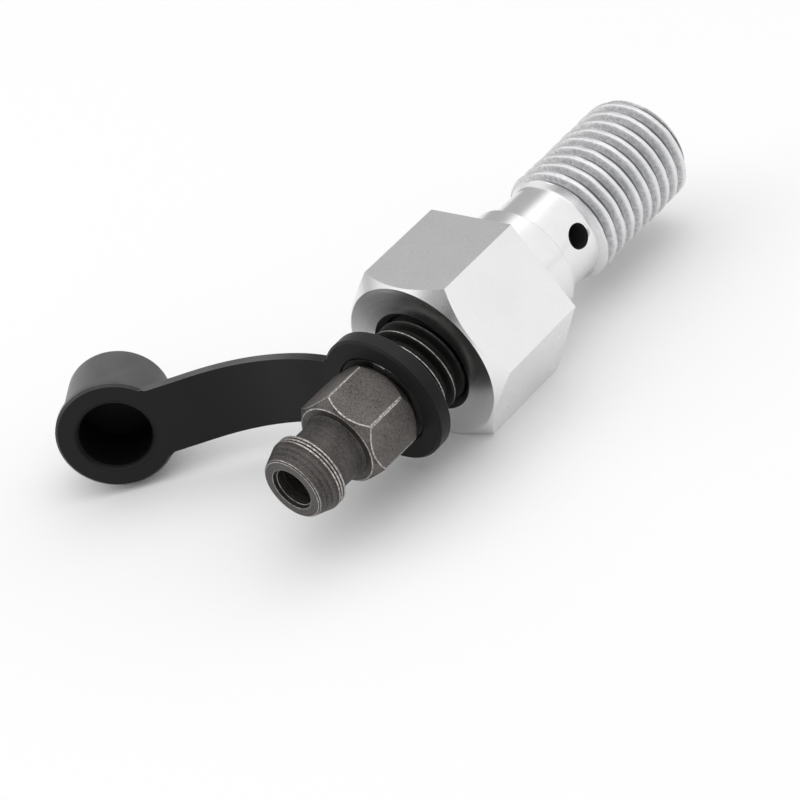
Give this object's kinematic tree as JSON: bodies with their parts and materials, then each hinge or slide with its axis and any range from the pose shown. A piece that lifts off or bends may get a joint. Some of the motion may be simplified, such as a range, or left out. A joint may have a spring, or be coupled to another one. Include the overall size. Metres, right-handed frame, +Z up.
{
  "type": "banjo bolt bleeder screw",
  "caption": "Hollow banjo bolt with a hexagon body, cross-drilled waist and fine thread, carrying a screwed-in hose-barb bleed nipple and a strap-tethered rubber dust cap.",
  "frame": {"origin": "on the bolt's axis, in the plane of the sealing face where the hexagon ends and the washer land begins", "axes": "+X along the bolt's axis towards its threaded end, +Z up, square to the hexagon's upper flat, with the bolt lying on the opposite flat"},
  "size_m": [0.0481, 0.037, 0.014],
  "materials": {
    "zinc_plated_steel": "satin bright zinc on turned steel",
    "phosphated_steel": "dark oiled phosphate with bright worn edges",
    "moulded_rubber": "matt black moulding"
  },
  "bodies": {
    "banjo_bolt": {"banjo_bolt": "zinc_plated_steel"},
    "dust_cap": {"dust_cap": "moulded_rubber"},
    "bleed_nipple": {"bleed_nipple": "phosphated_steel"}
  },
  "joints": [
    {"name": "nipple_lift", "type": "slide", "parent": "banjo_bolt", "child": "dust_cap", "axis": [-1, 0, 0], "range_m": [0, 0.005]},
    {"name": "nipple_turn", "type": "hinge", "parent": "dust_cap", "child": "bleed_nipple", "pos_m": [-0.0145, 0, 0], "axis": [-1, 0, 0], "range_deg": [0, 1440]}
  ],
  "couplings": [
    {"joint": "nipple_turn", "follows": "nipple_lift", "rad_per_m": 5026.5}
  ]
}
